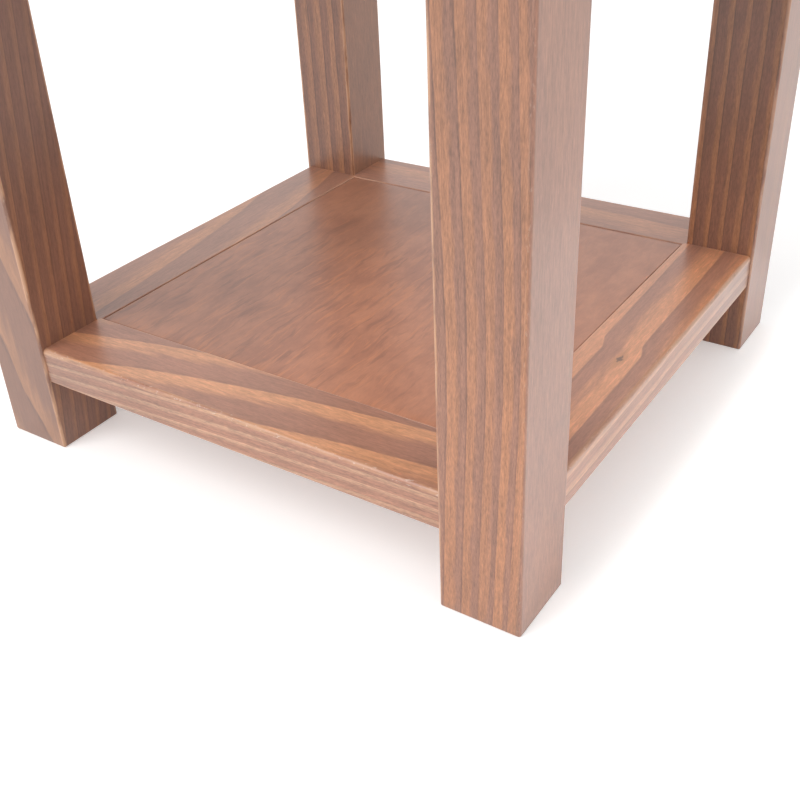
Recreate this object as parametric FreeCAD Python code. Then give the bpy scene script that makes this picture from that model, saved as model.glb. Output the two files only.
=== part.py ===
import FreeCAD, Part

import math
import os

Vector = FreeCAD.Vector

# End table in stained softwood: four square legs, a framed lower shelf with a dropped-in
# plywood panel, aprons under an edge-glued top, and blocks that brace the corners.
# Millimetres, +Z up, origin on the floor under the middle of the table, front face at -Y.

# Overall
table_height = 560.0
top_side = 508.0
top_overhang = 13.0

# Top of edge-glued boards
top_thickness = 30.0
board_count = 5
top_corner_round = 4.0
top_upper_round = 3.0
top_lower_round = 2.0
tongue_length = 7.0
tongue_thickness = 8.0
tongue_clearance = 0.15

# Legs
leg_side = 60.0
leg_edge_round = 2.0
foot_round = 1.5

# Shelf rails, laid flat between the legs
shelf_height = 92.5
rail_thickness = 30.0
rail_setback = 2.0
rail_lap = 3.0
rail_upper_round = 3.0
rail_lower_round = 2.0
rail_inner_round = 1.0
ledge_width = 10.0

# Shelf panel, dropped into the rebate of the rails
panel_thickness = 9.0
panel_recess = 0.6
panel_gap = 0.4
panel_edge_bevel = 0.5

# Aprons under the top
apron_height = 70.0
apron_thickness = 22.0
apron_setback = 5.0
apron_lower_round = 2.0

# Dowels that join rails and aprons to the legs
dowel_diameter = 8.0
dowel_length = 50.0
dowel_end_bevel = 1.0
dowel_clearance = 0.1
dowel_end_gap = 1.0
shelf_dowel_spacing = 28.0
shelf_dowel_stagger = 7.0
apron_dowel_spacing = 36.0

# Corner blocks between the aprons
block_thickness = 28.0
block_height = 36.0
block_leg_gap = 1.0

# Countersunk screws through the blocks
screw_diameter = 4.5
screw_head_diameter = 9.0
screw_length = 35.0
screw_tip_length = 5.0
screw_clearance = 0.15
counterbore_clearance = 0.75
apron_screw_bite = 16.0
apron_screw_cover = 24.0
top_screw_bite = 18.0

# One overrun for all cuts, the tolerance for finding edges, and how upright an upright edge is
cut_overrun = 5.0
edge_tolerance = 0.01
upright_share = 0.99

# Planes that several pieces share
leg_outer = top_side / 2 - top_overhang
leg_inner = leg_outer - leg_side
rail_outer = leg_outer - rail_setback
rebate_wall = leg_inner - rail_lap
ledge_edge = rebate_wall - ledge_width
rail_bottom = shelf_height - rail_thickness
panel_top = shelf_height - panel_recess
panel_bottom = panel_top - panel_thickness
top_underside = table_height - top_thickness
apron_outer = leg_outer - apron_setback
apron_inner = apron_outer - apron_thickness
apron_bottom = top_underside - apron_height

sides = ("front", "right", "back", "left")
corners = ("front_left", "front_right", "back_right", "back_left")
axis_z = Vector(0, 0, 1)


def quarter_turned(shape, turns):
    """A copy of a front or front-left piece, turned to another side or corner."""
    copy = shape.copy()
    copy.rotate(Vector(0, 0, 0), axis_z, 90 * turns)
    return copy


def box_between(low, high):
    return Part.makeBox(high.x - low.x, high.y - low.y, high.z - low.z, low)


def prism(points, height_vector):
    """A flat outline through the points, pushed along a vector."""
    face = Part.Face(Part.makePolygon([*points, points[0]]))
    return face.extrude(height_vector)


def edges_at(shape, **place):
    """The edges whose ends all lie at the named coordinates, such as y=0, z=10."""
    def there(edge):
        return all(
            abs(getattr(vertex, axis.upper()) - value) < edge_tolerance
            for vertex in edge.Vertexes
            for axis, value in place.items()
        )
    return [edge for edge in shape.Edges if there(edge)]


def upright_edges(shape):
    return [
        edge for edge in shape.Edges
        if abs(edge.tangentAt(edge.FirstParameter).z) > upright_share
    ]


# Legs

def make_leg():
    """The front-left leg: square, with softened edges and an eased foot."""
    leg = box_between(
        Vector(-leg_outer, -leg_outer, 0),
        Vector(-leg_inner, -leg_inner, top_underside),
    )
    leg = leg.makeFillet(leg_edge_round, upright_edges(leg))
    return leg.makeFillet(foot_round, edges_at(leg, z=0))


# Shelf

def make_shelf_rail():
    """The front rail: butted to the legs, mitred past them, rebated for the panel."""
    outline = [
        Vector(-leg_inner, -rail_outer, rail_bottom),
        Vector(leg_inner, -rail_outer, rail_bottom),
        Vector(leg_inner, -leg_inner, rail_bottom),
        Vector(ledge_edge, -ledge_edge, rail_bottom),
        Vector(-ledge_edge, -ledge_edge, rail_bottom),
        Vector(-leg_inner, -leg_inner, rail_bottom),
    ]
    rail = prism(outline, Vector(0, 0, rail_thickness))
    rebate = box_between(
        Vector(-leg_inner, -rebate_wall, panel_bottom),
        Vector(leg_inner, -ledge_edge + cut_overrun, shelf_height + cut_overrun),
    )
    rail = rail.cut(rebate)
    rail = rail.makeFillet(rail_upper_round, edges_at(rail, y=-rail_outer, z=shelf_height))
    rail = rail.makeFillet(rail_inner_round, edges_at(rail, y=-rebate_wall, z=shelf_height))
    lower = edges_at(rail, y=-rail_outer, z=rail_bottom) + edges_at(rail, y=-ledge_edge, z=rail_bottom)
    return rail.makeFillet(rail_lower_round, lower)


def make_shelf_panel():
    """The plywood panel: a square sheet with its upper arris broken."""
    half = rebate_wall - panel_gap
    panel = box_between(Vector(-half, -half, panel_bottom), Vector(half, half, panel_top))
    return panel.makeChamfer(panel_edge_bevel, edges_at(panel, z=panel_top))


# Aprons and top

def make_apron():
    """The front apron, flush under the top, with its lower arrises softened."""
    apron = box_between(
        Vector(-leg_inner, -apron_outer, apron_bottom),
        Vector(leg_inner, -apron_inner, top_underside),
    )
    lower = edges_at(apron, y=-apron_outer, z=apron_bottom) + edges_at(apron, y=-apron_inner, z=apron_bottom)
    return apron.makeFillet(apron_lower_round, lower)


def make_top_slab():
    """The whole top with its rounded corners and arrises, before it is parted into boards."""
    half = top_side / 2
    slab = box_between(Vector(-half, -half, top_underside), Vector(half, half, table_height))
    slab = slab.makeFillet(top_corner_round, upright_edges(slab))
    slab = slab.makeFillet(top_upper_round, edges_at(slab, z=table_height))
    return slab.makeFillet(top_lower_round, edges_at(slab, z=top_underside))


def board_outline(left, right, has_groove, has_tongue):
    """A board's section across the grain: groove in its left edge, tongue on its right."""
    middle = top_underside + top_thickness / 2
    low = top_underside - cut_overrun
    high = table_height + cut_overrun
    tongue_half = tongue_thickness / 2 - tongue_clearance
    groove_half = tongue_thickness / 2
    points = [(left, low), (right, low)]
    if has_tongue:
        tip = right + tongue_length - tongue_clearance
        points += [
            (right, middle - tongue_half),
            (tip, middle - tongue_half),
            (tip, middle + tongue_half),
            (right, middle + tongue_half),
        ]
    points += [(right, high), (left, high)]
    if has_groove:
        bottom = left + tongue_length
        points += [
            (left, middle + groove_half),
            (bottom, middle + groove_half),
            (bottom, middle - groove_half),
            (left, middle - groove_half),
        ]
    return points


def make_top_boards():
    """The top's boards, side by side along X with their grain along Y."""
    slab = make_top_slab()
    half = top_side / 2
    board_width = top_side / board_count
    boards = []
    for index in range(board_count):
        first = index == 0
        last = index == board_count - 1
        left = -half - cut_overrun if first else -half + index * board_width
        right = half + cut_overrun if last else -half + (index + 1) * board_width
        section = board_outline(left, right, not first, not last)
        points = [Vector(x, -half - cut_overrun, z) for x, z in section]
        boards.append(slab.common(prism(points, Vector(0, top_side + 2 * cut_overrun, 0))))
    return boards


# Dowels

def dowel_between(joint, direction, radius, length, end_bevel):
    """A round bar centred on a joint, with bevelled ends where a bevel is given."""
    start = joint - direction * (length / 2)
    bar = Part.makeCylinder(radius, length, start, direction)
    if end_bevel:
        rims = [edge for edge in bar.Edges if edge.Closed and len(edge.Vertexes) == 1]
        bar = bar.makeChamfer(end_bevel, rims)
    return bar


def shelf_dowel_joints(stagger):
    """Middles of the front rail's dowels, in the plane where the rail meets each leg."""
    middle_y = -(rail_outer + leg_inner) / 2
    z = shelf_height - rail_thickness / 2 + stagger
    return [
        Vector(end * leg_inner, middle_y + across * shelf_dowel_spacing / 2, z)
        for end in (-1, 1)
        for across in (-1, 1)
    ]


def apron_dowel_joints():
    """Middles of the front apron's dowels, one above the other at each end."""
    middle_y = -(apron_outer + apron_inner) / 2
    middle_z = apron_bottom + apron_height / 2
    return [
        Vector(end * leg_inner, middle_y, middle_z + above * apron_dowel_spacing / 2)
        for end in (-1, 1)
        for above in (-1, 1)
    ]


def make_dowels(joints):
    along = Vector(1, 0, 0)
    bars = [
        dowel_between(joint, along, dowel_diameter / 2, dowel_length, dowel_end_bevel)
        for joint in joints
    ]
    return Part.makeCompound(bars)


def make_dowel_holes(joints):
    along = Vector(1, 0, 0)
    radius = dowel_diameter / 2 + dowel_clearance
    length = dowel_length + 2 * dowel_end_gap
    return Part.makeCompound([dowel_between(joint, along, radius, length, 0) for joint in joints])


# Corner blocks and their screws

block_near = 2 * (apron_inner - leg_inner) + block_leg_gap * math.sqrt(2)
block_far = block_near + block_thickness * math.sqrt(2)
block_bottom = top_underside - block_height


def corner_point(from_left, from_front, z):
    """A point in the front-left corner, measured from the aprons' inner faces."""
    return Vector(from_left - apron_inner, from_front - apron_inner, z)


def make_corner_block():
    """The front-left block: a bar cut at 45 degrees to lie across the corner."""
    outline = [
        corner_point(block_near, 0, block_bottom),
        corner_point(block_far, 0, block_bottom),
        corner_point(0, block_far, block_bottom),
        corner_point(0, block_near, block_bottom),
    ]
    return prism(outline, Vector(0, 0, block_height))


def apron_screw_places():
    """Head centre and direction of the two screws from the front-left block into its aprons."""
    along_apron = block_far - apron_screw_cover
    head_out = screw_length - apron_screw_bite
    z = block_bottom + block_height / 2
    return [
        (corner_point(along_apron, head_out, z), Vector(0, -1, 0)),
        (corner_point(head_out, along_apron, z), Vector(-1, 0, 0)),
    ]


def top_screw_place():
    """Head centre and direction of the screw from the front-left block up into the top."""
    middle = (block_near + block_far) / 4
    return corner_point(middle, middle, top_underside + top_screw_bite - screw_length), axis_z


def make_screw(head, direction):
    """A countersunk screw: conical head, plain shank and pointed tip."""
    radius = screw_diameter / 2
    head_radius = screw_head_diameter / 2
    head_depth = head_radius - radius
    shank_length = screw_length - head_depth - screw_tip_length
    neck = head + direction * head_depth
    cone = Part.makeCone(head_radius, radius, head_depth, head, direction)
    shank = Part.makeCylinder(radius, shank_length, neck, direction)
    tip = Part.makeCone(radius, 0, screw_tip_length, neck + direction * shank_length, direction)
    return cone.fuse([shank, tip]).removeSplitter()


def make_screw_hole(head, direction):
    """The room a screw needs: counterbore for the driver, countersink and shank hole."""
    radius = screw_diameter / 2 + screw_clearance
    head_radius = screw_head_diameter / 2 + screw_clearance
    head_depth = head_radius - radius
    bore_length = block_height + block_thickness
    bore_radius = screw_head_diameter / 2 + counterbore_clearance
    bore = Part.makeCylinder(bore_radius, bore_length, head - direction * bore_length, direction)
    countersink = Part.makeCone(head_radius, radius, head_depth, head, direction)
    shank_hole = Part.makeCylinder(radius, screw_length + screw_clearance, head, direction)
    return bore.fuse([countersink, shank_hole])


# The assembly

def build():
    """Every piece of the table by name."""
    pieces = {}
    legs = [quarter_turned(make_leg(), turn) for turn in range(len(corners))]
    blocks = [quarter_turned(make_corner_block(), turn) for turn in range(len(corners))]
    boards = make_top_boards()
    aprons = [quarter_turned(make_apron(), turn) for turn in range(len(sides))]
    rails = [quarter_turned(make_shelf_rail(), turn) for turn in range(len(sides))]

    dowel_holes = []
    for turn, side in enumerate(sides):
        # Dowels of neighbouring rails pass above and below each other inside the legs.
        stagger = shelf_dowel_stagger if turn % 2 == 0 else -shelf_dowel_stagger
        shelf_joints = shelf_dowel_joints(stagger)
        shelf_holes = quarter_turned(make_dowel_holes(shelf_joints), turn)
        apron_holes = quarter_turned(make_dowel_holes(apron_dowel_joints()), turn)
        rails[turn] = rails[turn].cut(shelf_holes)
        aprons[turn] = aprons[turn].cut(apron_holes)
        dowel_holes += [shelf_holes, apron_holes]
        pieces["shelf_dowels_" + side] = quarter_turned(make_dowels(shelf_joints), turn)
        pieces["apron_dowels_" + side] = quarter_turned(make_dowels(apron_dowel_joints()), turn)

    block_screw_holes = []
    top_screw_holes = []
    top_screws = []
    for turn, corner in enumerate(corners):
        screws = [make_screw(*place) for place in apron_screw_places()]
        pieces["block_screws_" + corner] = quarter_turned(Part.makeCompound(screws), turn)
        top_screws.append(quarter_turned(make_screw(*top_screw_place()), turn))
        holes = Part.makeCompound([make_screw_hole(*place) for place in apron_screw_places()])
        block_screw_holes.append(quarter_turned(holes, turn))
        top_screw_holes.append(quarter_turned(make_screw_hole(*top_screw_place()), turn))
    pieces["top_screws"] = Part.makeCompound(top_screws)

    for turn, corner in enumerate(corners):
        pieces["leg_" + corner] = legs[turn].cut(dowel_holes)
        pieces["corner_block_" + corner] = blocks[turn].cut([block_screw_holes[turn], top_screw_holes[turn]])
    for turn, side in enumerate(sides):
        pieces["shelf_rail_" + side] = rails[turn]
        pieces["apron_" + side] = aprons[turn].cut(block_screw_holes)
    pieces["shelf_panel"] = make_shelf_panel()
    for index, board in enumerate(boards):
        pieces["top_board_" + str(index + 1)] = board.cut(top_screw_holes)
    return pieces


def single_shape(shape):
    """The shape itself, or a compound of its solids where it has several."""
    return shape.Solids[0] if len(shape.Solids) == 1 else Part.makeCompound(shape.Solids)


def main():
    os.makedirs("parts", exist_ok=True)
    for name, shape in build().items():
        solid = single_shape(shape)
        solid.exportStep(os.path.join("parts", name + ".step"))
        print(name, len(solid.Solids), "valid" if solid.isValid() else "NOT VALID", round(solid.Volume))


main()
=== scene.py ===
import math

import bpy
import numpy as np
from mathutils import Matrix, Vector


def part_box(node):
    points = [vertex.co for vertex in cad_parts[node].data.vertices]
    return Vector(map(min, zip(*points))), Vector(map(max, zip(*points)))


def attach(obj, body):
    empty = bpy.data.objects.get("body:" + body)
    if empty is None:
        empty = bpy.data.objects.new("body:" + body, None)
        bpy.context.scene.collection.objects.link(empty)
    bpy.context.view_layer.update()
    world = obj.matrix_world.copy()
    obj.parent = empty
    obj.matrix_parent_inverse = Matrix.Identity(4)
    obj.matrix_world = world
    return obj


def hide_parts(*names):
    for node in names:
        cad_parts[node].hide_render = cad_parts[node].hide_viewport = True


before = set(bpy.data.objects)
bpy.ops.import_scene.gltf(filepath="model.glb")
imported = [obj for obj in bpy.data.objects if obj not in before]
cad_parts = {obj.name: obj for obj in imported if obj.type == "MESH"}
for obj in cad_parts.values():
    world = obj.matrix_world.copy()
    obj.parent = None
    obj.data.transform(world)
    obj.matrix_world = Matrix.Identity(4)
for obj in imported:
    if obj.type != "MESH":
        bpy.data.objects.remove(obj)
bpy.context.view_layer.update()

mm = 0.001
corners = {"front_left": (-1, -1), "front_right": (1, -1), "back_right": (1, 1), "back_left": (-1, 1)}
sides = ("front", "right", "back", "left")
runs = ((1, 0, 0), (0, 1, 0))      # the way pieces run on the front and back, and on the right and left
print("frame loaded:", len(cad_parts), "nodes")


# Node sheets: Python expressions that become shader nodes

class Wire:
    # one output socket; arithmetic on it adds Math nodes to its sheet
    def __init__(self, sheet, socket):
        self.sheet = sheet
        self.socket = socket

    def __add__(self, other):
        return self.sheet.math("ADD", self, other)

    def __radd__(self, other):
        return self.sheet.math("ADD", other, self)

    def __sub__(self, other):
        return self.sheet.math("SUBTRACT", self, other)

    def __rsub__(self, other):
        return self.sheet.math("SUBTRACT", other, self)

    def __mul__(self, other):
        return self.sheet.math("MULTIPLY", self, other)

    def __truediv__(self, other):
        return self.sheet.math("DIVIDE", self, other)


class Sheet:
    # a material's or world's node tree, emptied, with the few node forms used here
    def __init__(self, owner):
        owner.use_nodes = True
        self.owner = owner
        self.tree = owner.node_tree
        self.tree.nodes.clear()

    def add(self, kind, settings=None, sockets=None, out=0):
        node = self.tree.nodes.new(kind)
        for key, value in (settings or {}).items():
            setattr(node, key, value)
        for key, value in (sockets or {}).items():
            if isinstance(value, Wire):
                self.tree.links.new(value.socket, node.inputs[key])
            else:
                node.inputs[key].default_value = value
        return Wire(self, node.outputs[out]) if node.outputs else node

    def math(self, operation, *values):
        return self.add("ShaderNodeMath", {"operation": operation}, dict(enumerate(values)))

    def vector(self, operation, first, second, out=0):
        return self.add("ShaderNodeVectorMath", {"operation": operation}, {0: first, 1: second}, out)

    def dot(self, first, second):
        return self.vector("DOT_PRODUCT", first, second, "Value")

    def join(self, x, y, z):
        return self.add("ShaderNodeCombineXYZ", None, {0: x, 1: y, 2: z})

    def millimetres(self):
        place = self.add("ShaderNodeTexCoord", None, None, "Object")
        return self.vector("MULTIPLY", place, (1 / mm, 1 / mm, 1 / mm))

    def noise(self, place, detail=2.0, roughness=0.5):
        sockets = {"Vector": place, "Scale": 1.0, "Detail": detail, "Roughness": roughness}
        return self.add("ShaderNodeTexNoise", None, sockets)

    def noiseAlong(self, distance):
        settings = {"noise_dimensions": "1D"}
        sockets = {"W": distance, "Scale": 1.0, "Detail": 1.0, "Roughness": 0.5}
        return self.add("ShaderNodeTexNoise", settings, sockets)

    def step(self, value, low, high):
        settings = {"interpolation_type": "SMOOTHSTEP"}
        return self.add("ShaderNodeMapRange", settings, {0: value, 1: low, 2: high, 3: 0.0, 4: 1.0})

    def mix(self, share, first, second, blend="MIX"):
        settings = {"data_type": "RGBA", "blend_type": blend}
        return self.add("ShaderNodeMix", settings, {0: share, 6: first, 7: second}, 2)

    def shaded(self, colour, shade):
        return self.mix(1.0, colour, self.join(shade, shade, shade), "MULTIPLY")

    def attribute(self, name):
        return self.add("ShaderNodeAttribute", {"attribute_name": name}, None, "Fac")

    def surface(self, sockets, bumpDistance, height):
        bump = {"Strength": 0.6, "Distance": bumpDistance, "Height": height}
        sockets = dict(sockets, Normal=self.add("ShaderNodeBump", None, bump))
        shader = self.add("ShaderNodeBsdfPrincipled", None, sockets)
        self.add("ShaderNodeOutputMaterial", None, {0: shader})
        return self.owner


def rgb(red, green, blue):
    return (red, green, blue, 1.0)


# Softwood. The growth rings are cylinders about a pith line outside the piece: with q the distance
# past a chosen ring edge, ring number = pith rings + q / ring width - taper q^2. Within a ring the
# stain is dark and greyish just after the edge, then rises to orange latewood and stops short.

stainedLook = {
    "earlywood": rgb(0.340, 0.157, 0.100),
    "latewood": rgb(0.550, 0.244, 0.112),
    "ringLine": rgb(0.180, 0.078, 0.046),      # darker wood where a ring starts
    "paleLatewood": rgb(0.515, 0.308, 0.190),
    # colour of worn arrises, also used for a painted highlight
    "wornEdgeAndHighlight": rgb(0.60, 0.33, 0.19),
    "scuff": rgb(0.85, 0.74, 0.64),
    "knot": rgb(0.090, 0.050, 0.036),
    "fine": 1.1,               # short fibres
    "broad": 0.7,              # streaks
    "figure": 0.22,            # paler patches in the latewood
    "stain": 0.30,             # slow unevenness of the stain
    "fleck": 0.12,             # dark specks
    "endGrain": 0.40,
    "roughness": 0.42,
    "coat": 0.7,
    "coatRoughness": 0.30,
    "fibreDepth": 0.00003,
}

bareLook = dict(
    stainedLook,
    earlywood=rgb(0.66, 0.47, 0.28),
    latewood=rgb(0.56, 0.33, 0.15),
    ringLine=rgb(0.60, 0.42, 0.24),
    wornEdgeAndHighlight=rgb(0.70, 0.52, 0.33),
    scuff=rgb(0.78, 0.64, 0.46),
    fine=0.5, broad=0.4, figure=0.0, endGrain=0.25, roughness=0.62, coat=0.0,
)

grainScale = {                 # mm across and along the grain over which each unevenness is drawn out
    "sway": (55.0, 230.0),
    "jitter": (9.0, 80.0),
    "ragged": (3.0, 25.0),
    "fray": (5.0, 38.0),
    "brokenLine": (3.0, 45.0),
    "fine": (0.75, 4.5),
    "broad": (1.9, 20.0),
    "fleck": (0.6, 6.0),
    "figure": (2.4, 13.0),
    "stain": (26.0, 70.0),
    "knot": (1.6, 2.6),
    "wornAndHighlight": (6.0, 30.0),
    "scuff": (1.6, 4.0),
}

grainEdges = {                 # values at which each mask starts and is full
    "flatSawn": (0.3, 0.8),
    "endGrain": (0.75, 0.95),
    "thinLate": (0.45, 0.94),
    "lateStop": (0.965, 1.0),
    "lineStop": (0.0, 0.11),
    "brokenLine": (0.30, 0.60),
    "strata": (0.36, 0.62),
    "fleck": (0.64, 0.76),
    "figure": (0.48, 0.70),
    "spindle": (0.55, 1.0),
    "knot": (0.40, 0.95),
    "wornAndHighlight": (0.36, 0.60),
    "paintedHighlightSide": (0.2, 0.6),
    "scuff": (0.59, 0.70),
}

grainMix = {
    "bowAt": 100.0,            # mm along at which a bow is stated
    "ringsPerChange": 2.1,     # rings over which their width changes
    "layer": 2.6,              # mm over which the thin layers change
    "thinFray": 0.4,           # share of the fraying on thin latewood
    "faintRing": 0.3,          # how much fainter a ring may be than its neighbours
    "fineOnFace": 0.4,         # shares of short fibres and layers lost on flat-sawn faces
    "strataOnFace": 0.9,
    "broadOnEnd": 0.7,         # share of streaks lost on end grain
}

knotForm = {
    "spindleWide": 1.6,        # times the knot's own width
    "spindleTint": 0.55,
    "raggedness": 1.5,
}

plainGrain = {
    "late": (0.38, 0.74),      # shares of a ring where the latewood starts and is full
    "paleEdge": 0.0,           # how far the latewood is thin and pale on faces that show the rings edge-on
    "contrast": (0.8, 0.85),   # on faces that show the rings edge-on, and on flat-sawn faces
    "tone": 1.0,
    "flatFaceToneAndLight": 1.0,           # times the tone, on flat-sawn faces; on the legs these are whole sides, so this is partly painted light
    "paintedShade": None,              # painted shade on faces that show the rings edge-on: the distances along the grain where the darkening starts and is full, and the share of tone that it takes
                               # where the tone starts to fall and stops, and the share that it loses
    "earlywood": None,         # colours of its own
    "latewood": None,
    "taper": 0.0,
    "bow": (0.0, 0.3),         # mm of sag at 100 mm along, and how soon it levels out
    "slips": (),               # (distance along, width, mm) where the rings step aside
    "uneven": 0.3,
    "sway": 3.0,
    "jitter": 2.0,
    "ragged": 1.2,
    "lines": 0.35,             # strength of the dark line where a ring starts
    "strata": 0.05,            # strength of thin layers that follow the rings
    "frayed": 0.25,            # how unevenly the latewood starts, in shares of a ring
    "fibres": 1.0,
    "rubbed": 0.45,            # how far the arrises are paled, by worn stain and by a painted highlight and the side towards the light, where the paling is kept to the arrises facing it as a painted highlight
    "paintedHighlightTowards": None,          # and the side they face, where it isn't all of them
    "scuffs": 0.12,
    "knots": (),
}


def ringAxes(grain):
    # growth direction, the direction across it, and the grain direction, which is the
    # piece's own length with the growth direction taken out of it
    growth = Vector(grain["growth"]).normalized()
    length = Vector(grain["length"])
    along = (length - growth * length.dot(growth)).normalized()
    return growth, along.cross(growth), along


def softwood(name, grain, look=stainedLook):
    grain = dict(plainGrain, **grain)
    sheet = Sheet(bpy.data.materials.new(name))
    growth, across, along = ringAxes(grain)
    pithDistance = grain["pithRings"] * grain["ringWidth"]
    pith = Vector(grain["through"]) - growth * pithDistance
    place = sheet.millimetres()
    fromPith = sheet.vector("SUBTRACT", place, tuple(pith))
    outward = sheet.dot(fromPith, tuple(growth))
    sideways = sheet.dot(fromPith, tuple(across))
    lengthwise = sheet.dot(fromPith, tuple(along))
    seed = grain["seed"] * 37.0

    def drawn(kind, detail=2.0, roughness=0.5):
        # noise that is drawn out along the grain
        wide, long = grainScale[kind]
        spot = sheet.join(outward / wide + seed, sideways / wide, lengthwise / long)
        return sheet.noise(spot, detail, roughness)

    def masked(kind, value):
        return sheet.step(value, *grainEdges[kind])

    # wander of the rings: a bow, steps, long sways, shorter jitter and a ragged edge
    square = lengthwise * lengthwise
    depth, limit = grain["bow"]
    reach = outward + square * depth / (square * limit + grainMix["bowAt"] ** 2)
    for at, width, size in grain["slips"]:
        reach = reach + sheet.step(lengthwise, at - width, at + width) * size
    reach = reach + (drawn("sway") - 0.5) * grain["sway"]
    reach = reach + (drawn("jitter") - 0.5) * grain["jitter"]
    reach = reach + (drawn("ragged", 3.0) - 0.5) * grain["ragged"]
    q = sheet.math("SQRT", reach * reach + sideways * sideways) - pithDistance
    ring = q / grain["ringWidth"] - q * q * grain["taper"] + grain["pithRings"]
    change = sheet.noiseAlong(ring / grainMix["ringsPerChange"] + seed) - 0.5
    ring = ring + change * grain["uneven"]
    phase = sheet.math("FRACT", ring)
    ringNumber = {"W": sheet.math("FLOOR", ring) + seed}
    mood = sheet.add("ShaderNodeTexWhiteNoise", {"noise_dimensions": "1D"}, ringNumber, "Value")

    trueNormal = sheet.add("ShaderNodeNewGeometry", None, None, "True Normal")
    flatSawn = masked("flatSawn", sheet.math("ABSOLUTE", sheet.dot(trueNormal, tuple(growth))))
    endGrain = masked("endGrain", sheet.math("ABSOLUTE", sheet.dot(trueNormal, tuple(along))))
    edgeContrast, faceContrast = grain["contrast"]
    contrast = flatSawn * (faceContrast - edgeContrast) + edgeContrast

    lateStart, lateFull = grain["late"]
    fray = (drawn("fray") - 0.5) * grain["frayed"] * 2
    pale = (1 - flatSawn) * grain["paleEdge"]
    thin = masked("thinLate", phase + fray * grainMix["thinFray"])
    wide = sheet.step(phase + fray, lateStart, lateFull)
    late = (wide + (thin - wide) * pale) * (1 - masked("lateStop", phase))
    late = late * (mood * grainMix["faintRing"] + (1 - grainMix["faintRing"])) * contrast
    ringLine = (1 - masked("lineStop", phase)) * masked("brokenLine", drawn("brokenLine"))
    ringLine = ringLine * contrast * grain["lines"]

    # fibres: short ones, streaks, thin layers that follow the rings, and a slow unevenness of the stain
    fine = (drawn("fine", 2.0, 0.6) - 0.5) * (1 - flatSawn * grainMix["fineOnFace"])
    broad = (drawn("broad", 3.0, 0.6) - 0.5) * (1 - endGrain * grainMix["broadOnEnd"])
    layers = masked("strata", sheet.noiseAlong(q / grainMix["layer"] + seed)) * 2 - 1
    strata = layers * (1 - flatSawn * grainMix["strataOnFace"])
    fleck = masked("fleck", drawn("fleck"))
    figure = masked("figure", drawn("figure")) * late
    stain = drawn("stain") - 0.5

    latewood = sheet.mix(pale, grain["latewood"] or look["latewood"], look["paleLatewood"])
    colour = sheet.mix(late, grain["earlywood"] or look["earlywood"], latewood)
    colour = sheet.mix(ringLine, colour, look["ringLine"])
    shade = 1 + (fine * look["fine"] + broad * look["broad"]) * grain["fibres"] + strata * grain["strata"]
    shade = shade + figure * look["figure"] + stain * look["stain"] - fleck * look["fleck"]
    # flat-sawn faces toned apart: partly painted light, lifting the pale right-hand sides of the right legs
    # and lowering the front of the front left leg
    shade = shade * (1 - endGrain * look["endGrain"]) * (flatSawn * (grain["flatFaceToneAndLight"] - 1) + 1)
    # painted shade: edge-on faces darken along the grain, towards the tops of the legs, the left end of the
    # front rail and the back of the right rail
    if grain["paintedShade"]:
        paintedShadeStart, paintedShadeEnd, paintedShadeShare = grain["paintedShade"]
        shade = shade * (1 - sheet.step(lengthwise, paintedShadeStart, paintedShadeEnd) * (1 - flatSawn) * paintedShadeShare)
    colour = sheet.shaded(colour, shade * grain["tone"])

    # knots: a dark core with pointed ends in an orange spindle along the grain
    for knot in grain["knots"]:
        fromKnot = sheet.vector("SUBTRACT", place, knot["place"])
        a = sheet.math("ABSOLUTE", sheet.dot(fromKnot, tuple(along)))
        b = sheet.math("SQRT", sheet.math("MAXIMUM", sheet.dot(fromKnot, fromKnot) - a * a, 0.0))
        a = a + (fine + broad) * knot["wide"]
        spindle = 1 - masked("spindle", a / knot["spindle"] + b / (knot["wide"] * knotForm["spindleWide"]))
        core = a / knot["long"] + b / knot["wide"] + (drawn("knot") - 0.5) * knotForm["raggedness"]
        colour = sheet.mix(spindle * knotForm["spindleTint"], colour, look["latewood"])
        colour = sheet.mix((1 - masked("knot", core)) * knot["depth"], colour, look["knot"])

    # arrises: stain rubbed thin, kept to the lit side as a painted highlight where a side is given, with pale
    # scuffs here and there
    arris = sheet.attribute("arris") * (1 - endGrain)
    wornAndHighlight = arris * masked("wornAndHighlight", drawn("wornAndHighlight", 3.0)) * grain["rubbed"]
    # painted highlight: the paling only on arrises that face the light
    if grain["paintedHighlightTowards"]:
        wornAndHighlight = wornAndHighlight * masked("paintedHighlightSide", sheet.dot(trueNormal, grain["paintedHighlightTowards"]))
    colour = sheet.mix(wornAndHighlight, colour, look["wornEdgeAndHighlight"])
    scuff = arris * masked("scuff", drawn("scuff", 3.0, 0.6)) * grain["scuffs"]
    colour = sheet.mix(scuff, colour, look["scuff"])

    # rougher on fibres, scuffs and end grain, smoother on latewood
    return sheet.surface({
        "Base Color": colour,
        "Roughness": look["roughness"] + fine * 0.12 - late * 0.04 + scuff * 0.2 + endGrain * 0.12,
        "Coat Weight": look["coat"],
        "Coat Roughness": look["coatRoughness"],
    }, look["fibreDepth"], fine * 0.6 + broad * 0.5 + late * 0.5)


# Bars: a profile of corners carried along a straight piece.
# A rounded corner is an arc, corner + r (n1 cos a + n2 sin a - n1 - n2), with n1 and n2 the outward
# normals of its two flats, and r breathes a little along the length, as hand-sanded edges do.
# Near an eased end each flat is drawn in by R - sqrt(R^2 - (R - d)^2) at the distance d from the end.

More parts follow.
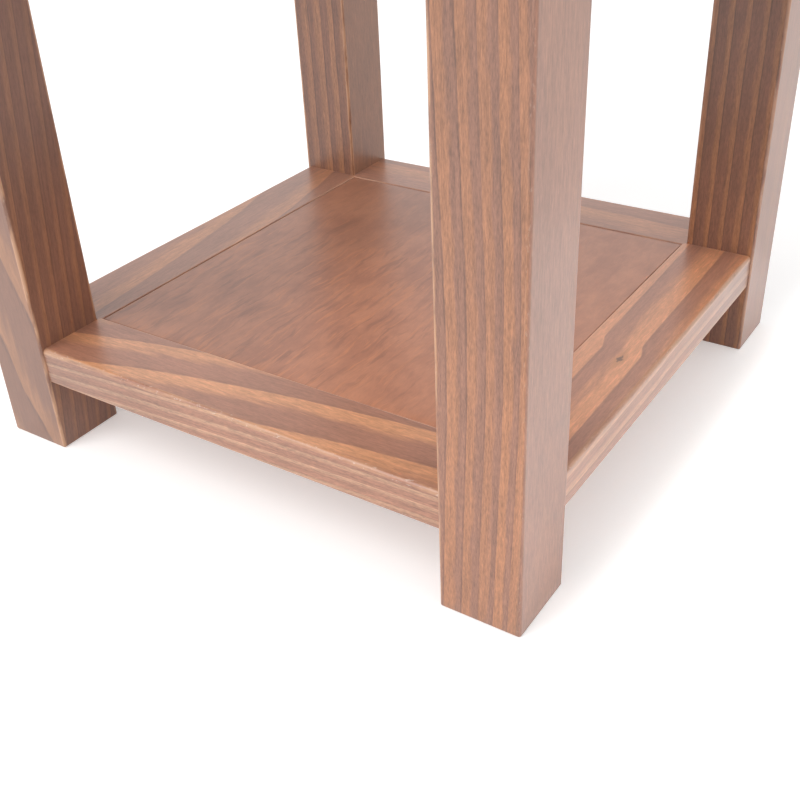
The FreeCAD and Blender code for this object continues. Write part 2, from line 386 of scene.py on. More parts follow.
barDetail = {
    "arcSteps": 6,
    "flatSteps": 4,
    "easeSteps": 7,
    "station": 9.0 * mm,
    "shoulder": 0.7 * mm,      # flat kept beside each arc
    "breathing": 0.16,         # share by which an edge's radius wanders
    "leastRound": 0.02 * mm,
    "shoulderShare": 0.2,      # of a flat, at most
    "wornInset": 0.2 * mm,     # drawn in by more than this, a ring counts as arris
    "sharpAngle": math.radians(32.0),
    "samePlace": 1e-9,
    "straightOn": 0.99,        # cosine past which two flats run straight on
}


def breathe(count, along, seed):
    # three sine waves of unlike lengths for each edge, added up: a smooth wander from about -1 to 1
    rng = np.random.default_rng(seed)
    waves = rng.uniform(5.0, 40.0, (3, count))
    phases = rng.uniform(0.0, 2 * math.pi, (3, count))
    return np.sin(along[:, None, None] * waves + phases).sum(1) / 3


def barStations(length, startEase, endEase):
    # close together over the eased ends, then evenly spaced
    rise = 1 - np.cos(np.linspace(0.0, math.pi / 2, barDetail["easeSteps"]))
    first = startEase * rise if startEase else np.zeros(1)
    last = length - (endEase * rise[::-1] if endEase else np.zeros(1))
    steps = max(2, int((last[0] - first[-1]) / barDetail["station"]))
    return np.concatenate([first, np.linspace(first[-1], last[0], steps + 1)[1:-1], last])


def drawnIn(distance, eases):
    gap = np.clip(eases - distance[:, None], 0.0, None)
    return eases - np.sqrt(np.maximum(eases ** 2 - gap ** 2, 0.0))


def barRing(profile, radii, insets):
    # stations by columns: the ring's points, and one arris weight for each column
    spots = np.array([spot[:2] for spot in profile])
    edges = np.roll(spots, -1, 0) - spots
    outward = np.stack([edges[:, 1], -edges[:, 0]], 1) / np.linalg.norm(edges, axis=1)[:, None]
    turn = np.linspace(0.0, math.pi / 2, barDetail["arcSteps"] + 1)[:, None]
    arcs = []
    for k, spot in enumerate(profile):
        n1, n2 = outward[k - 1], outward[k]
        in1, in2 = insets[:, k - 1, None], insets[:, k, None]
        bent = 0.0 if n1 @ n2 > barDetail["straightOn"] else 1.0
        corner = (spots[k] - n1 * in1 - n2 * in2 * bent)[:, None]
        if spot[2]:
            r = radii[:, k, None] - np.maximum(in1, in2)
            r = np.maximum(r, barDetail["leastRound"])[:, :, None]
            corner = corner + r * (n1 * np.cos(turn) + n2 * np.sin(turn) - n1 - n2)
        arcs.append(corner)
    shares = np.linspace(0.0, 1.0, barDetail["flatSteps"] + 1)[1:-1]
    points = []
    weights = []
    for arc, following in zip(arcs, arcs[1:] + arcs[:1]):
        start, stop = arc[:, -1:], following[:, :1]
        shortest = np.linalg.norm(stop - start, axis=2).min()
        near = min(barDetail["shoulder"] / shortest, barDetail["shoulderShare"])
        flat = start + (stop - start) * np.concatenate([[near], shares, [1 - near]])[None, :, None]
        points += [arc, flat]
        weights += [np.full(arc.shape[1], float(arc.shape[1] > 1)), np.zeros(flat.shape[1])]
    return np.concatenate(points, 1), np.concatenate(weights)


def gridFaces(rows, columns):
    # quads between neighbouring rings of a grid that closes on itself
    index = np.arange(rows * columns).reshape(rows, columns)
    ahead = np.roll(index, -1, 1)
    quads = np.stack([index[:-1], ahead[:-1], ahead[1:], index[1:]], -1)
    return quads.reshape(-1, 4).tolist()


def endCaps(rows, columns, parts):
    # the two ends of a grid, each filled by one or more flats; parts are runs of columns
    last = (rows - 1) * columns
    return [part[::-1] for part in parts] + [[last + k for k in part] for part in parts]


def newPiece(name, points, faces, material, nodes, arris=None):
    mesh = bpy.data.meshes.new(name)
    mesh.from_pydata(points.reshape(-1, 3), [], faces)
    if arris is not None:
        layer = mesh.attributes.new("arris", "FLOAT", "POINT")
        layer.data.foreach_set("value", np.asarray(arris, np.float32).ravel())
    mesh.polygons.foreach_set("use_smooth", np.ones(len(mesh.polygons), bool))
    mesh.set_sharp_from_angle(angle=barDetail["sharpAngle"])
    mesh.materials.append(material)
    piece = bpy.data.objects.new(name, mesh)
    bpy.context.scene.collection.objects.link(piece)
    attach(piece, "root")
    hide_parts(*nodes)


def barPiece(node, profile, length, place, material, seed, eases=None, mitreFrom=None):
    # place turns (profile x, profile y, distance along) into the table's frame; eases are the rounds
    # of each flat at the start and at the end; past mitreFrom both ends fall back at 45 degrees
    eases = np.zeros((2, len(profile))) if eases is None else np.array(eases)
    along = barStations(length, *eases.max(1))
    insets = drawnIn(along, eases[0]) + drawnIn(length - along, eases[1])
    wander = 1 + barDetail["breathing"] * breathe(len(profile), along, seed)
    ring, weights = barRing(profile, np.array([spot[2] for spot in profile]) * wander, insets)
    rows, columns = ring.shape[:2]
    distance = np.broadcast_to(along[:, None], (rows, columns))
    parts = [list(range(columns))]
    if mitreFrom is not None:
        back = np.clip(ring[..., 0] - mitreFrom, 0.0, None)
        distance = back + distance * (length - 2 * back) / length
        lower, upper = np.flatnonzero(np.abs(ring[0, :, 0] - mitreFrom) < barDetail["samePlace"])
        parts = [list(range(lower, upper + 1)), list(range(upper, columns)) + list(range(lower + 1))]
    points = place(ring[..., 0], ring[..., 1], distance)
    faces = gridFaces(rows, columns) + endCaps(rows, columns, parts)
    arris = np.maximum(weights, (insets.max(1) > barDetail["wornInset"])[:, None])
    newPiece("dressed_" + node, points, faces, material, [node], arris)


def quarterTurn(points, turns):
    # the same place on another side of the square table: (x, y) goes to (-y, x) for each quarter turn
    for _ in range(turns):
        points = np.stack([-points[..., 1], points[..., 0], points[..., 2]], -1)
    return points


# Legs

legs = {
    "edgeRound": 2.0 * mm,
    "footRound": 1.5 * mm,
    "grain": {
        "front_right": {
            "seed": 1, "growth": (-1.0, 0.0, 0.0), "through": (212.4, -211.0, 195.0),
            "ringWidth": 11.53, "pithRings": 15, "late": (0.34, 0.60), "taper": 0.0003, "bow": (-3.1, 0.3),
            "uneven": 0.0, "sway": 1.5, "jitter": 1.6, "ragged": 1.1, "frayed": 0.4, "fibres": 1.15,
            "contrast": (0.72, 0.1), "tone": 0.95, "flatFaceToneAndLight": 1.12, "lines": 1.0,
            "latewood": rgb(0.515, 0.216, 0.094), "rubbed": 0.9, "paintedHighlightTowards": (-0.93, -0.37, 0.0),
            "paintedShade": (-100.0, 130.0, 0.21),
        },
        "front_left": {
            "seed": 2, "growth": (-0.246, 0.965, -0.086), "through": (-217.0, -241.0, 50.0),
            "ringWidth": 12.06, "pithRings": 80, "late": (0.52, 0.85), "bow": (18.6, 10.3),
            "uneven": 0.0, "sway": 1.0, "jitter": 0.8, "ragged": 0.7, "fibres": 0.6,
            "contrast": (0.62, 0.75), "tone": 0.72, "flatFaceToneAndLight": 0.92, "lines": 0.8,
            "earlywood": rgb(0.335, 0.149, 0.091), "rubbed": 0.8, "paintedShade": (80.0, 200.0, 0.14),
        },
        "back_right": {
            "seed": 3, "growth": (0.993, 0.12, 0.0), "through": (226.0, 181.0, 150.0),
            "ringWidth": 13.0, "pithRings": 12, "late": (0.55, 0.80),
            "uneven": 0.25, "sway": 2.0, "jitter": 1.6, "ragged": 1.0,
            "contrast": (1.0, 0.15), "tone": 0.65, "flatFaceToneAndLight": 1.44, "lines": 1.0,
            "earlywood": rgb(0.330, 0.138, 0.078), "latewood": rgb(0.560, 0.236, 0.098),
            "paintedShade": (-70.0, 70.0, 0.20),
        },
        "back_left": {
            "seed": 4, "growth": (0.985, -0.17, 0.01), "through": (-208.0, 181.0, 140.0),
            "ringWidth": 15.0, "pithRings": 9, "late": (0.30, 0.75), "uneven": 0.2,
            "contrast": (0.8, 0.6), "tone": 0.67, "lines": 1.0,
            "earlywood": rgb(0.330, 0.142, 0.084), "rubbed": 1.0,
        },
    },
}


def makeLegs():
    r = legs["edgeRound"]
    eases = [[legs["footRound"]] * 4, [0.0] * 4]
    for number, corner in enumerate(corners):
        low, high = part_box("leg_" + corner)
        profile = [(low.x, low.y, r), (high.x, low.y, r), (high.x, high.y, r), (low.x, high.y, r)]
        grain = dict(legs["grain"][corner], length=(0, 0, 1))
        barPiece(
            "leg_" + corner, profile, high.z - low.z,
            lambda x, y, along, base=low.z: np.stack([x, y, base + along], -1),
            softwood("stained_leg_" + corner, grain), 10 + number, eases,
        )
    print("legs made")


# Shelf rails: an L-shaped profile, butted to the legs and mitred past them

rails = {
    "upperRound": 3.0 * mm,
    "lowerRound": 2.0 * mm,
    "innerRound": 1.0 * mm,
    "panelGap": 0.4 * mm,
    "grain": {
        "front": {
            "seed": 5, "growth": (-0.034, 0.262, 0.964), "through": (66.0, -191.5, 92.5),
            "ringWidth": 9.17, "pithRings": 90, "late": (0.46, 0.80), "paleEdge": 1.0, "bow": (0.75, 0.0),
            "uneven": 0.0, "sway": 0.5, "jitter": 0.5, "ragged": 0.3, "strata": 0.09,
            "contrast": (0.68, 1.0), "tone": 1.15, "latewood": rgb(0.555, 0.264, 0.132),
            "rubbed": 0.6, "scuffs": 0.42, "paintedShade": (-50.0, -260.0, 0.26),
        },
        "right": {
            "seed": 6, "growth": (0.373, 0.006, -0.927), "through": (192.2, 49.0, 92.5),
            "ringWidth": 12.0, "pithRings": 85, "late": (0.22, 0.72), "paleEdge": 1.0,
            "slips": ((-64.0, 11.0, 1.9),), "uneven": 0.0, "sway": 0.6, "jitter": 0.6, "ragged": 0.45,
            "strata": 0.06, "fibres": 0.75, "contrast": (0.7, 1.0), "tone": 1.36,
            "latewood": rgb(0.550, 0.250, 0.126), "rubbed": 0.6, "scuffs": 0.2, "paintedShade": (-69.0, 100.0, 0.22),
            "knots": (
                {"place": (212.0, -34.0, 92.0), "long": 8.0, "wide": 3.5, "spindle": 26.0, "depth": 0.75},
            ),
        },
        "back": {
            "seed": 7, "growth": (0.01, 0.20, 0.98), "through": (120.0, 212.0, 92.5),
            "ringWidth": 9.0, "pithRings": 60, "sway": 1.2, "jitter": 0.8, "ragged": 0.4,
            "contrast": (0.5, 0.6), "tone": 1.2,
        },
        "left": {
            "seed": 8, "growth": (0.20, 0.03, -0.979), "through": (-205.0, -56.0, 92.5),
            "ringWidth": 9.0, "pithRings": 80, "late": (0.45, 0.84), "bow": (0.4, 0.0),
            "uneven": 0.1, "sway": 0.7, "jitter": 0.6, "ragged": 0.3, "contrast": (0.5, 0.75),
        },
    },
}


def makeRails():
    low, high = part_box("shelf_rail_front")
    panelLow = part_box("shelf_panel")[0]
    wall = panelLow.y - rails["panelGap"]
    mitreFrom = low.x      # on a square table the legs' inner faces are as far forward as to the left
    profile = [
        (low.y, low.z, rails["lowerRound"]), (mitreFrom, low.z, 0.0), (high.y, low.z, rails["lowerRound"]),
        (high.y, panelLow.z, 0.0), (wall, panelLow.z, 0.0), (wall, high.z, rails["innerRound"]),
        (mitreFrom, high.z, 0.0), (low.y, high.z, rails["upperRound"]),
    ]
    for turns, side in enumerate(sides):
        grain = dict(rails["grain"][side], length=runs[turns % 2])
        barPiece(
            "shelf_rail_" + side, profile, high.x - low.x,
            lambda y, z, along, turns=turns: quarterTurn(np.stack([low.x + along, y, z], -1), turns),
            softwood("stained_shelf_rail_" + side, grain), 30 + turns, mitreFrom=mitreFrom,
        )
    print("shelf rails made")


# Shelf panel: stained plywood, its face veneer running front to back

panel = {
    "edgeRound": 0.5 * mm,
    "ground": rgb(0.328, 0.133, 0.074),
    "pale": rgb(0.416, 0.177, 0.097),
    "dark": rgb(0.165, 0.068, 0.042),
    "line": rgb(0.450, 0.182, 0.088),
    "sheenAndStainLift": 0.30,              # how much paler towards the middle and the right: partly paler stain, partly painted sheen
    "liftSlant": 0.35,         # mm further right for each mm to the front or the back
    "plainerRight": 0.7,       # shares of the figure lost to the right and to the back
    "plainerBack": 0.6,
    "darkShare": (0.16, 0.32),     # of dark streaks, and what clusters add to it
    "lineShare": (0.85, 0.25),     # of pale streaks, and what clusters take off it
    "shades": {"fibre": 0.42, "patch": 0.22, "pore": 0.10},
    "strays": (                # scales of the noise per mm, its detail, and mm to the side
        ((0.022, 0.014, 0.022), 2.0, 13.0),
        ((0.09, 0.05, 0.09), 1.0, 5.0),
    ),
    "roughness": 0.42,
    "coat": 0.65,
    "coatRoughness": 0.33,
    "fibreDepth": 0.00003,
    "noises": {                # mm across and along the grain, detail, roughness, and a shift of its own
        "cloud": (48.0, 70.0, 3.0, 0.55, 0.0),
        "patch": (15.0, 30.0, 3.0, 0.6, 11.0),
        "fibre": (0.9, 6.0, 3.0, 0.6, 31.0),
        "pore": (0.7, 5.0, 2.0, 0.5, 47.0),
        "line": (4.2, 50.0, 4.0, 0.58, 61.0),
        "dark": (5.0, 44.0, 4.0, 0.58, 73.0),
        "cluster": (26.0, 50.0, 2.0, 0.5, 83.0),
    },
    "edges": {                 # values at which each mask starts and is full
        "pale": (0.37, 0.64),
        "pore": (0.62, 0.76),
        "line": (0.53, 0.62),
        "dark": (0.50, 0.62),
        "cluster": (0.40, 0.60),
        "plainRight": (20.0, 150.0),
        "plainBack": (-20.0, 150.0),
        "sheenAndStainLift": (-125.0, -30.0),
    },
}


def veneer():
    sheet = Sheet(bpy.data.materials.new("stained_veneer"))
    place = sheet.millimetres()

    # the grain runs front to back and strays a little from side to side
    stray = sum(
        (sheet.noise(sheet.vector("MULTIPLY", place, scales), detail) - 0.5) * reach
        for scales, detail, reach in panel["strays"]
    )
    across = sheet.dot(place, (1.0, 0.0, 0.0)) + stray
    along = sheet.dot(place, (0.0, 1.0, 0.0))

    def drawn(kind):
        wide, long, detail, roughness, shift = panel["noises"][kind]
        spot = sheet.join(across / wide + shift, along / long + shift, shift)
        return sheet.noise(spot, detail, roughness)

    def masked(kind, value):
        return sheet.step(value, *panel["edges"][kind])

    cloud = drawn("cloud")
    patch = drawn("patch")
    fibre = drawn("fibre") - 0.5
    pore = masked("pore", drawn("pore"))

    # figure: short pale streaks along the grain and clusters of dark ones, fainter to the right and the back
    figured = 1 - masked("plainRight", across) * panel["plainerRight"]
    figured = figured * (1 - masked("plainBack", along) * panel["plainerBack"])
    line = masked("line", drawn("line")) * figured
    dark = masked("dark", drawn("dark")) * figured
    cluster = masked("cluster", drawn("cluster"))
    colour = sheet.mix(masked("pale", cloud * 0.6 + patch * 0.4), panel["ground"], panel["pale"])
    darkShare, darkAdded = panel["darkShare"]
    lineShare, lineTaken = panel["lineShare"]
    colour = sheet.mix(dark * (cluster * darkAdded + darkShare), colour, panel["dark"])
    colour = sheet.mix(line * (lineShare - cluster * lineTaken), colour, panel["line"])

    # the paling, partly stain and partly painted sheen, reaches furthest left halfway from front to back
    sheenAndStainLift = masked("sheenAndStainLift", across - sheet.math("ABSOLUTE", along) * panel["liftSlant"]) * panel["sheenAndStainLift"]
    shades = panel["shades"]
    shade = 1 + fibre * shades["fibre"] + (patch - 0.5) * shades["patch"] - pore * shades["pore"] + sheenAndStainLift
    colour = sheet.shaded(colour, shade)
    return sheet.surface({
        "Base Color": colour,
        "Roughness": panel["roughness"] + fibre * 0.10,
        "Coat Weight": panel["coat"],
        "Coat Roughness": panel["coatRoughness"],
    }, panel["fibreDepth"], fibre + line * 0.2)


def makePanel():
    low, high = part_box("shelf_panel")
    r = panel["edgeRound"]
    profile = [(low.x, low.z, 0.0), (high.x, low.z, 0.0), (high.x, high.z, r), (low.x, high.z, r)]
    eases = [[0.0, 0.0, r, 0.0]] * 2
    barPiece(
        "shelf_panel", profile, high.y - low.y,
        lambda x, z, along: np.stack([x, high.y - along, z], -1),
        veneer(), 50, eases,
    )
    print("shelf panel made")


# Aprons under the top

aprons = {
    "lowerRound": 2.0 * mm,
    "grain": {
        "front": {"seed": 11, "growth": (0.01, -0.94, 0.34), "through": (30.0, -236.0, 505.0),
                  "ringWidth": 8.5, "pithRings": 15},
        "right": {"seed": 12, "growth": (-0.30, 0.012, 0.95), "through": (236.0, -20.0, 490.0),
                  "ringWidth": 9.5, "pithRings": 17},
        "back": {"seed": 13, "growth": (-0.015, 0.55, 0.83), "through": (-40.0, 236.0, 480.0),
                 "ringWidth": 7.5, "pithRings": 20},
        "left": {"seed": 14, "growth": (-0.90, -0.01, -0.43), "through": (-236.0, 10.0, 470.0),
                 "ringWidth": 10.5, "pithRings": 12},
    },
    "unevenness": {"sway": 2.0, "jitter": 1.2, "ragged": 0.8},
}


def makeAprons():
    low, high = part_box("apron_front")
    r = aprons["lowerRound"]
    profile = [(low.y, low.z, r), (high.y, low.z, r), (high.y, high.z, 0.0), (low.y, high.z, 0.0)]
    for turns, side in enumerate(sides):
        grain = dict(aprons["grain"][side], length=runs[turns % 2], **aprons["unevenness"])
        barPiece(
            "apron_" + side, profile, high.x - low.x,
            lambda y, z, along, turns=turns: quarterTurn(np.stack([low.x + along, y, z], -1), turns),
            softwood("stained_apron_" + side, grain), 70 + turns,
        )
    print("aprons made")


# Top: five boards side by side, tongued and grooved, rounded along the outside and barely eased at the joints

top = {
    "upperRound": 3.0 * mm,
    "lowerRound": 2.0 * mm,
    "cornerRound": 4.0 * mm,
    "jointRound": 0.25 * mm,
    "tongue": {"length": 7.0 * mm, "thickness": 8.0 * mm, "clearance": 0.15 * mm},
    "grain": (
        {"seed": 21, "growth": (0.42, 0.012, 0.907), "through": (-215.0, 0.0, 560.0),
         "ringWidth": 9.0, "pithRings": 11},
        {"seed": 22, "growth": (-0.10, -0.020, 0.995), "through": (-108.0, 30.0, 560.0),
         "ringWidth": 8.0, "pithRings": 9},
        {"seed": 23, "growth": (-0.66, 0.010, 0.751), "through": (-20.0, -40.0, 560.0),
         "ringWidth": 9.5, "pithRings": 13},
        {"seed": 24, "growth": (0.16, 0.024, -0.987), "through": (96.0, 60.0, 560.0),
         "ringWidth": 8.5, "pithRings": 16},
        {"seed": 25, "growth": (-0.36, -0.012, 0.933), "through": (210.0, 20.0, 560.0),
         "ringWidth": 9.0, "pithRings": 12},
    ),
    "unevenness": {"sway": 2.5, "jitter": 1.2, "ragged": 0.8},
}


def boardProfile(low, high, first, last):
    # corners (x, z, round) and, for the flat that starts at each, its round at the board's ends
    tongue = top["tongue"]
    tip = tongue["length"] - tongue["clearance"]
    right = high.x if last else high.x - tip
    middle = (low.z + high.z) / 2
    thin = tongue["thickness"] / 2 - tongue["clearance"]
    wide = tongue["thickness"] / 2
    outer = top["cornerRound"]
    rows = [(low.x, low.z, top["lowerRound"] if first else top["jointRound"], top["lowerRound"])]
    rows += [(right, low.z, top["lowerRound"] if last else top["jointRound"], outer if last else 0.0)]
    if not last:
        rows += [(right, middle - thin, 0.0, 0.0), (high.x, middle - thin, 0.0, 0.0)]
        rows += [(high.x, middle + thin, 0.0, 0.0), (right, middle + thin, 0.0, 0.0)]
    rows += [(right, high.z, top["upperRound"] if last else top["jointRound"], top["upperRound"])]
    rows += [(low.x, high.z, top["upperRound"] if first else top["jointRound"], outer if first else 0.0)]
    if not first:
        bottom = low.x + tongue["length"]
        rows += [(low.x, middle + wide, 0.0, 0.0), (bottom, middle + wide, 0.0, 0.0)]
        rows += [(bottom, middle - wide, 0.0, 0.0), (low.x, middle - wide, 0.0, 0.0)]
    return [row[:3] for row in rows], [row[3] for row in rows]


def makeTop():
    count = len(top["grain"])
    for number, grain in enumerate(top["grain"]):
        node = "top_board_" + str(number + 1)
        low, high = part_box(node)
        profile, ease = boardProfile(low, high, number == 0, number == count - 1)
        grain = dict(grain, length=(0, 1, 0), **top["unevenness"])
        barPiece(
            node, profile, high.y - low.y,
            lambda x, z, along, back=high.y: np.stack([x, back - along, z], -1),
            softwood("stained_" + node, grain), 90 + number, [ease, ease],
        )
    print("top boards made")


# Screws: a surface of revolution with a cross recess in the head and a thread wound round the shank,
# radius = core + ridge, where the ridge is a sharp tooth of fract(distance / pitch - angle / turn)

screws = {
    "length": 35.0 * mm,
    "headRadius": 4.5 * mm,
    "headDepth": 2.25 * mm,
    "radius": 2.25 * mm,
    "core": 1.6 * mm,
    "tip": 5.0 * mm,
    "pitch": 2.0 * mm,
    "plainNeck": 7.0 * mm,
    "rim": 0.25 * mm,          # the head's own edge
    "neckShare": 1.15,         # the plain neck's radius over the core's
    "toothWidth": 1 / 2.4,     # share of the pitch that a thread's tooth takes
    "recess": {"reach": 2.5 * mm, "arm": 0.62 * mm, "depth": 1.7 * mm, "wall": 0.25 * mm, "steepness": 1.6},
    "hub": 0.15 * mm,          # radius of the head's innermost ring
    "around": 36,
    "headRings": 15,
    "shankRings": 140,
    "pointGap": 0.05 * mm,
    "zinc": rgb(0.72, 0.61, 0.38),
    "zincPale": rgb(0.78, 0.73, 0.60),
    "cloudsPerMm": (0.5, 0.5, 0.5),
    "gritPerMm": (6.0, 6.0, 6.0),
    "gritDepth": 0.00001,
    "roughness": 0.26,
}


def screwSurface():
    # rows by columns of (radius, distance from the head's face), and the angle of each column
    turn = np.linspace(0.0, 2 * math.pi, screws["around"], endpoint=False)
    recess = screws["recess"]
    spoke = np.linspace(screws["hub"], screws["headRadius"], screws["headRings"])[:, None]
    spoke = spoke * np.ones_like(turn)
    x, y = np.abs(spoke * np.cos(turn)), np.abs(spoke * np.sin(turn))
    offArm = np.minimum(x, y)
    farOut = np.maximum(x, y)
    inside = np.clip((recess["arm"] - offArm) / recess["wall"], 0.0, 1.0)
    inside = inside * np.clip(1 - farOut / recess["reach"], 0.0, 1.0)
    head = np.stack([spoke, recess["depth"] * np.minimum(inside * recess["steepness"], 1.0)], -1)

    rim = screws["rim"]
    down = np.linspace(rim, screws["length"] - screws["pointGap"], screws["shankRings"])[:, None]
    down = down * np.ones_like(turn)
    slope = (screws["headRadius"] - screws["radius"]) / screws["headDepth"]
    cone = screws["headRadius"] - (down - rim) * slope
    tooth = np.mod(down / screws["pitch"] - turn / (2 * math.pi), 1.0)
    ridge = np.clip(1 - np.abs(2 * tooth - 1) / screws["toothWidth"], 0.0, 1.0)
    threaded = screws["core"] + (screws["radius"] - screws["core"]) * ridge
    shank = np.where(down < screws["plainNeck"], screws["core"] * screws["neckShare"], threaded)
    point = np.clip((screws["length"] - down) / screws["tip"], 0.0, 1.0)
    body = np.stack([np.maximum(cone, shank * point), down], -1)
    return np.concatenate([head, body]), turn


def screwPoints(head, direction):
    # the surface stood at the head's middle, its axis along the direction
    surface, turn = screwSurface()
    axis = np.array(direction, float)
    side = np.array((0.0, 0.0, 1.0) if abs(axis[2]) < 0.5 else (1.0, 0.0, 0.0))
    other = np.cross(axis, side)
    ring = np.cos(turn)[:, None] * side + np.sin(turn)[:, None] * other
    return np.array(head) + surface[..., :1] * ring + surface[..., 1:] * axis


def zinc():
    sheet = Sheet(bpy.data.materials.new("yellow_zinc"))
    place = sheet.millimetres()
    cloud = sheet.noise(sheet.vector("MULTIPLY", place, screws["cloudsPerMm"]), 3.0)
    grit = sheet.noise(sheet.vector("MULTIPLY", place, screws["gritPerMm"]), 2.0)
    return sheet.surface({
        "Base Color": sheet.mix(sheet.step(cloud, 0.35, 0.65), screws["zinc"], screws["zincPale"]),
        "Metallic": 1.0,
        "Roughness": screws["roughness"] + cloud * 0.16 + grit * 0.06,
    }, screws["gritDepth"], grit)


def screwGroup(node, places, material):
    groups = np.stack([screwPoints(head, direction) for head, direction in places])
    count, rows, columns = groups.shape[:3]
    faces = gridFaces(rows, columns) + endCaps(rows, columns, [list(range(columns))])
    faces = [[n * rows * columns + k for k in face] for n in range(count) for face in faces]
    newPiece("dressed_" + node, groups, faces, material, [node])


def makeScrews():
    material = zinc()
    length = screws["length"]
    r = screws["headRadius"]
    for corner, (signX, signY) in corners.items():
        low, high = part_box("block_screws_" + corner)
        outer = (low.x if signX < 0 else high.x, low.y if signY < 0 else high.y)
        inner = (high.x if signX < 0 else low.x, high.y if signY < 0 else low.y)
        z = (low.z + high.z) / 2
        screwGroup("block_screws_" + corner, [
            ((inner[0] + signX * r, outer[1] - signY * length, z), (0, signY, 0)),
            ((outer[0] - signX * length, inner[1] + signY * r, z), (signX, 0, 0)),
        ], material)
    low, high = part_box("top_screws")
    reach = high.x - r
    screwGroup("top_screws", [
        ((signX * reach, signY * reach, low.z), (0, 0, 1)) for signX, signY in corners.values()
    ], material)
    print("screws made")


# Corner blocks and dowels keep their solids, in bare wood

bareWood = {
    "block": {"ringWidth": 6.0, "pithRings": 9, "uneven": 0.4, "sway": 2.0, "jitter": 1.0, "ragged": 0.6},
    "beech": rgb(0.62, 0.42, 0.26),
    "beechDark": rgb(0.48, 0.29, 0.16),
    "fibresPerMm": 1.6,
    "raysPerMm": 3.4,
    "drawnOut": 18.0,          # how many times longer than wide
    "fibreDepth": 0.00003,
}


def beech(name, length):
    sheet = Sheet(bpy.data.materials.new(name))
    place = sheet.millimetres()
    stretch = Vector([1 / bareWood["drawnOut"] if axis else 1.0 for axis in length])
    fibrePlace = sheet.vector("MULTIPLY", place, tuple(stretch * bareWood["fibresPerMm"]))
    rayPlace = sheet.vector("MULTIPLY", place, tuple(stretch * bareWood["raysPerMm"]))
    fibre = sheet.noise(fibrePlace, 3.0)
    ray = sheet.step(sheet.noise(rayPlace, 1.0), 0.60, 0.72)
    colour = sheet.mix(ray * 0.6 + (fibre - 0.5) * 0.8, bareWood["beech"], bareWood["beechDark"])
    finish = {"Base Color": colour, "Roughness": 0.58 + fibre * 0.14}
    return sheet.surface(finish, bareWood["fibreDepth"], fibre)


def dressNode(node, material):
    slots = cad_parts[node].material_slots
    for slot in slots:
        slot.material = material
    if not slots:
        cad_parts[node].data.materials.append(material)


def dressHidden():
    for number, (corner, (signX, signY)) in enumerate(corners.items()):
        low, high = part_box("corner_block_" + corner)
        middle = (low + high) * (0.5 / mm)
        grain = dict(bareWood["block"], seed=31 + number, through=tuple(middle),
                     growth=(signX * 0.35, signY * 0.35, 0.87), length=(signX, -signY, 0))
        dressNode("corner_block_" + corner, softwood("bare_corner_block_" + corner, grain, bareLook))
    for turns, side in enumerate(sides):
        material = beech("beech_dowels_" + side, runs[turns % 2])
        dressNode("shelf_dowels_" + side, material)
        dressNode("apron_dowels_" + side, material)
    print("blocks and dowels dressed")


# Stage: white floor, white surround, soft lamps and the camera

stage = {
    "floorSize": 14.0,
    "floorColour": rgb(0.86, 0.86, 0.86),
    "floorGlow": 0.33,         # white that only the camera and reflections see
    "surround": 0.85,
    "lamps": {
        "front": {
            "place": (-0.7, -1.9, 2.1), "aim": (0.0, 0.0, 0.1),
            "size": (2.0, 2.0), "watts": 40.0, "spread": 180.0,
        },
        "rightFloor": {        # a narrow beam straight down, thrown back at the right-hand faces
            "place": (0.44, 0.02, 3.2), "aim": (0.44, 0.02, 0.0),
            "size": (0.26, 0.64), "watts": 1.75, "spread": 2.8,
        },
    },
    "camera": {
        "place": (0.46918, -0.69227, 0.50376),
        "yaw": -34.705, "pitch": -32.494, "roll": -2.701,
        "lens": 48.916,
        "clipStart": 0.01,
    },
}


def seenRays(sheet):
    # 1 on rays from the camera and on rays that metal, lacquer or glass sends on
    kinds = ("Camera", "Glossy", "Transmission")
    rays = [sheet.add("ShaderNodeLightPath", None, None, f"Is {kind} Ray") for kind in kinds]
    return sheet.math("MINIMUM", rays[0] + rays[1] + rays[2], 1.0)


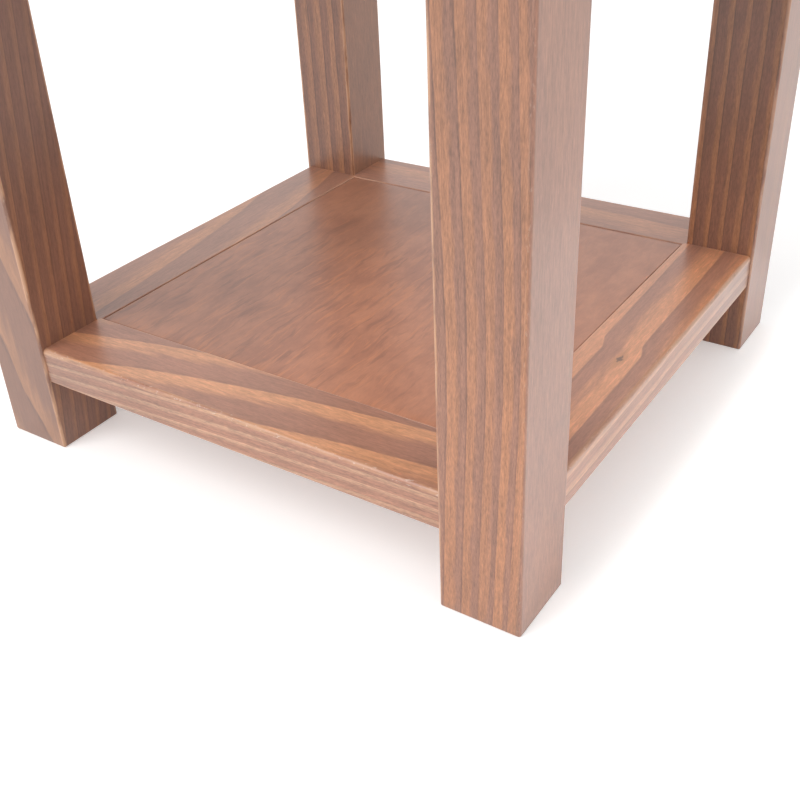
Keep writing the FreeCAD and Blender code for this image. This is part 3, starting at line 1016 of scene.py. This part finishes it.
def makeStage():
    half = stage["floorSize"] / 2
    mesh = bpy.data.meshes.new("floor")
    outline = [(-half, -half, 0), (half, -half, 0), (half, half, 0), (-half, half, 0)]
    mesh.from_pydata(outline, [], [(0, 1, 2, 3)])
    floor = bpy.data.objects.new("floor", mesh)
    bpy.context.scene.collection.objects.link(floor)
    sheet = Sheet(bpy.data.materials.new("white_floor"))
    matte = sheet.add("ShaderNodeBsdfDiffuse", None, {"Color": stage["floorColour"]})
    glow = sheet.add("ShaderNodeEmission", None, {"Color": rgb(1, 1, 1), "Strength": stage["floorGlow"]})
    bright = sheet.add("ShaderNodeAddShader", None, {0: matte, 1: glow})
    shader = sheet.add("ShaderNodeMixShader", None, {0: seenRays(sheet), 1: matte, 2: bright})
    sheet.add("ShaderNodeOutputMaterial", None, {0: shader})
    mesh.materials.append(sheet.owner)

    world = bpy.data.worlds.new("white_surround")
    bpy.context.scene.world = world
    sky = Sheet(world)
    soft = sky.add("ShaderNodeBackground", None, {"Color": rgb(1, 1, 1), "Strength": stage["surround"]})
    white = sky.add("ShaderNodeBackground", None, {"Color": rgb(1, 1, 1), "Strength": 1.0})
    shader = sky.add("ShaderNodeMixShader", None, {0: seenRays(sky), 1: soft, 2: white})
    sky.add("ShaderNodeOutputWorld", None, {0: shader})

    for name, lamp in stage["lamps"].items():
        light = bpy.data.lights.new("lamp_" + name, "AREA")
        light.energy = lamp["watts"]
        light.shape = "RECTANGLE"
        light.size, light.size_y = lamp["size"]
        light.spread = math.radians(lamp["spread"])
        holder = bpy.data.objects.new("lamp_" + name, light)
        holder.location = lamp["place"]
        towards = Vector(lamp["aim"]) - Vector(lamp["place"])
        holder.rotation_euler = towards.to_track_quat("-Z", "Y").to_euler()
        bpy.context.scene.collection.objects.link(holder)
    print("floor and lamps made")


def makeCamera():
    # forward from yaw and pitch, then the picture's right and up turned by the roll
    view = stage["camera"]
    yaw, pitch, roll = (math.radians(view[key]) for key in ("yaw", "pitch", "roll"))
    forward = Vector((math.sin(yaw) * math.cos(pitch), math.cos(yaw) * math.cos(pitch), math.sin(pitch)))
    level = Vector((math.cos(yaw), -math.sin(yaw), 0.0))
    upright = level.cross(forward)
    right = level * math.cos(roll) + upright * math.sin(roll)
    up = upright * math.cos(roll) - level * math.sin(roll)
    lens = bpy.data.cameras.new("camera")
    lens.lens = view["lens"]
    lens.clip_start = view["clipStart"]
    camera = bpy.data.objects.new("camera", lens)
    turn = Matrix((right, up, -forward)).transposed().to_4x4()
    camera.matrix_world = Matrix.Translation(view["place"]) @ turn
    bpy.context.scene.collection.objects.link(camera)
    bpy.context.scene.camera = camera
    bpy.context.scene.view_settings.view_transform = "Standard"
    print("camera set")


makeLegs()
makeRails()
makePanel()
makeAprons()
makeTop()
makeScrews()
dressHidden()
makeStage()
makeCamera()
